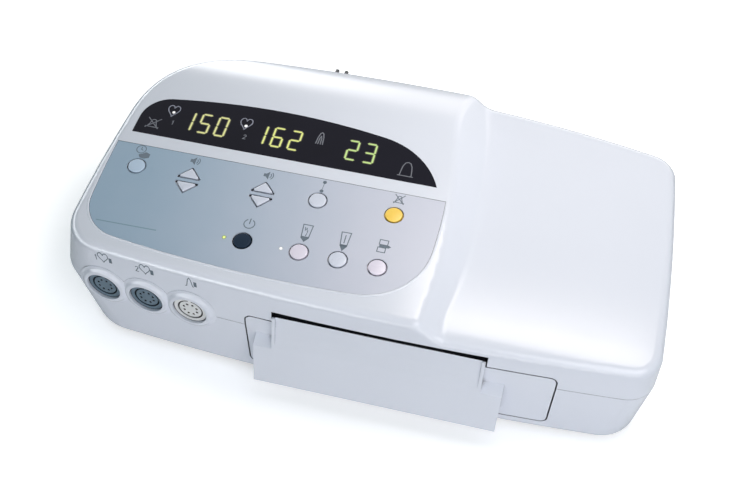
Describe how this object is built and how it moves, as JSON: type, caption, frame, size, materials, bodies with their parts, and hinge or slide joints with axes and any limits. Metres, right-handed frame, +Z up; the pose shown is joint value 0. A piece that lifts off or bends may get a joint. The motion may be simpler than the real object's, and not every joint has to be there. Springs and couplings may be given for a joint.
{
  "type": "fetal monitor",
  "caption": "Tabletop fetal monitor with a sloping key panel, dark display window, round transducer sockets and a pull-out strip chart recorder with a paper chute.",
  "frame": {"origin": "middle of the footprint, on the surface that the feet stand on", "axes": "+X to the right seen from the front, along the longest side; +Y from the front, where the chute and sockets are, to the back; +Z up"},
  "size_m": [0.452, 0.262, 0.1183],
  "materials": {
    "housing": "glossy cool-white moulded plastic",
    "window": "dark smoked window with glossy face",
    "overlay": "satin printed polyester sheet",
    "key_light": "glossy pale key caps",
    "key_yellow": "glossy yellow key cap",
    "key_dark": "glossy near-black key cap",
    "lamp_green": "translucent green lamp",
    "lamp_pale": "translucent pale lamp",
    "digits": "dark display module face",
    "board": "green circuit board",
    "switches": "black tact switches",
    "socket_grey": "satin blue-grey moulding",
    "socket_ivory": "satin ivory moulding",
    "contacts": "gold-plated contacts",
    "tray": "satin dark grey moulding",
    "platen_rubber": "ground matt rubber",
    "steel": "turned steel",
    "bushing": "natural acetal",
    "gear": "natural acetal",
    "brass": "turned brass",
    "motor": "dark zinc-plated can",
    "print_head": "glazed ceramic substrate",
    "aluminium": "extruded aluminium",
    "frame_steel": "zinc-plated sheet steel",
    "chips": "moulded component cases",
    "core": "varnished laminations",
    "coil": "taped winding",
    "capacitor": "sleeved can",
    "speaker": "black steel basket",
    "rear_plate": "painted sheet",
    "black_plastic": "satin black moulding",
    "ports": "tinned steel shells",
    "foot_rubber": "grey rubber"
  },
  "bodies": {
    "cabinet": {"upper_housing": "housing", "lower_housing": "housing", "display_lens": "window", "keypad_overlay": "overlay", "lamp_power": "lamp_green", "lamp_record": "lamp_pale", "digit_module_1": "digits", "digit_module_2": "digits", "digit_module_3": "digits", "display_board": "board", "key_switches": "switches", "socket_collars": "housing", "socket_shell_1": "socket_grey", "socket_shell_2": "socket_grey", "socket_shell_3": "socket_ivory", "socket_insert_1": "socket_grey", "socket_insert_2": "socket_grey", "socket_insert_3": "socket_ivory", "socket_contacts": "contacts", "stepper_motor": "motor", "print_head": "print_head", "head_bracket": "aluminium", "recorder_frame": "frame_steel", "main_board": "board", "main_board_chips": "chips", "board_standoffs": "brass", "power_supply_board": "board", "transformer_core": "core", "transformer_coil": "coil", "supply_capacitors": "capacitor", "speaker": "speaker", "rear_plate": "rear_plate", "mains_inlet": "black_plastic", "mains_pins": "contacts", "data_ports": "ports", "earth_stud": "brass", "rear_terminals": "black_plastic", "rubber_feet": "foot_rubber", "housing_screws": "steel"},
    "key_setup_body": {"key_setup": "key_light"},
    "key_volume_1_up_body": {"key_volume_1_up": "key_light"},
    "key_volume_1_down_body": {"key_volume_1_down": "key_light"},
    "key_volume_2_up_body": {"key_volume_2_up": "key_light"},
    "key_volume_2_down_body": {"key_volume_2_down": "key_light"},
    "key_mark_body": {"key_mark": "key_light"},
    "key_alarm_silence_body": {"key_alarm_silence": "key_yellow"},
    "key_power_body": {"key_power": "key_dark"},
    "key_record_body": {"key_record": "key_light"},
    "key_paper_advance_body": {"key_paper_advance": "key_light"},
    "key_print_body": {"key_print": "key_light"},
    "drawer": {"recorder_door": "housing", "paper_chute": "housing", "paper_tray": "tray", "platen_bushings": "bushing"},
    "platen": {"platen_roller": "platen_rubber", "platen_shaft": "steel", "platen_gear": "gear"},
    "idler": {"idler_gear": "gear"},
    "pinion": {"motor_pinion": "brass", "motor_shaft": "steel"}
  },
  "joints": [
    {"name": "setup_press", "type": "slide", "parent": "cabinet", "child": "key_setup_body", "axis": [0, 0.0715, -0.9974], "range_m": [0, 0.0008], "stiffness_N_per_m": 1500, "springref_m": -0.0005},
    {"name": "volume_1_up_press", "type": "slide", "parent": "cabinet", "child": "key_volume_1_up_body", "axis": [0, 0.0715, -0.9974], "range_m": [0, 0.0008], "stiffness_N_per_m": 1500, "springref_m": -0.0005},
    {"name": "volume_1_down_press", "type": "slide", "parent": "cabinet", "child": "key_volume_1_down_body", "axis": [0, 0.0715, -0.9974], "range_m": [0, 0.0008], "stiffness_N_per_m": 1500, "springref_m": -0.0005},
    {"name": "volume_2_up_press", "type": "slide", "parent": "cabinet", "child": "key_volume_2_up_body", "axis": [0, 0.0715, -0.9974], "range_m": [0, 0.0008], "stiffness_N_per_m": 1500, "springref_m": -0.0005},
    {"name": "volume_2_down_press", "type": "slide", "parent": "cabinet", "child": "key_volume_2_down_body", "axis": [0, 0.0715, -0.9974], "range_m": [0, 0.0008], "stiffness_N_per_m": 1500, "springref_m": -0.0005},
    {"name": "mark_press", "type": "slide", "parent": "cabinet", "child": "key_mark_body", "axis": [0, 0.0715, -0.9974], "range_m": [0, 0.0008], "stiffness_N_per_m": 1500, "springref_m": -0.0005},
    {"name": "alarm_silence_press", "type": "slide", "parent": "cabinet", "child": "key_alarm_silence_body", "axis": [0, 0.0715, -0.9974], "range_m": [0, 0.0008], "stiffness_N_per_m": 1500, "springref_m": -0.0005},
    {"name": "power_press", "type": "slide", "parent": "cabinet", "child": "key_power_body", "axis": [0, 0.0715, -0.9974], "range_m": [0, 0.0008], "stiffness_N_per_m": 1500, "springref_m": -0.0005},
    {"name": "record_press", "type": "slide", "parent": "cabinet", "child": "key_record_body", "axis": [0, 0.0715, -0.9974], "range_m": [0, 0.0008], "stiffness_N_per_m": 1500, "springref_m": -0.0005},
    {"name": "paper_advance_press", "type": "slide", "parent": "cabinet", "child": "key_paper_advance_body", "axis": [0, 0.0715, -0.9974], "range_m": [0, 0.0008], "stiffness_N_per_m": 1500, "springref_m": -0.0005},
    {"name": "print_press", "type": "slide", "parent": "cabinet", "child": "key_print_body", "axis": [0, 0.0715, -0.9974], "range_m": [0, 0.0008], "stiffness_N_per_m": 1500, "springref_m": -0.0005},
    {"name": "drawer_slide", "type": "slide", "parent": "cabinet", "child": "drawer", "axis": [0, -1, 0], "range_m": [0, 0.1]},
    {"name": "platen_turn", "type": "hinge", "parent": "drawer", "child": "platen", "pos_m": [0.0275, -0.09867, 0.0655], "axis": [1, 0, 0], "continuous": true},
    {"name": "idler_turn", "type": "hinge", "parent": "cabinet", "child": "idler", "pos_m": [0.1116, -0.07867, 0.0655], "axis": [1, 0, 0], "continuous": true},
    {"name": "pinion_turn", "type": "hinge", "parent": "cabinet", "child": "pinion", "pos_m": [0.1116, -0.06067, 0.0655], "axis": [1, 0, 0], "continuous": true}
  ],
  "couplings": [
    {"joint": "idler_turn", "follows": "platen_turn", "ratio": -0.66667},
    {"joint": "pinion_turn", "follows": "platen_turn", "ratio": 1.3333}
  ]
}
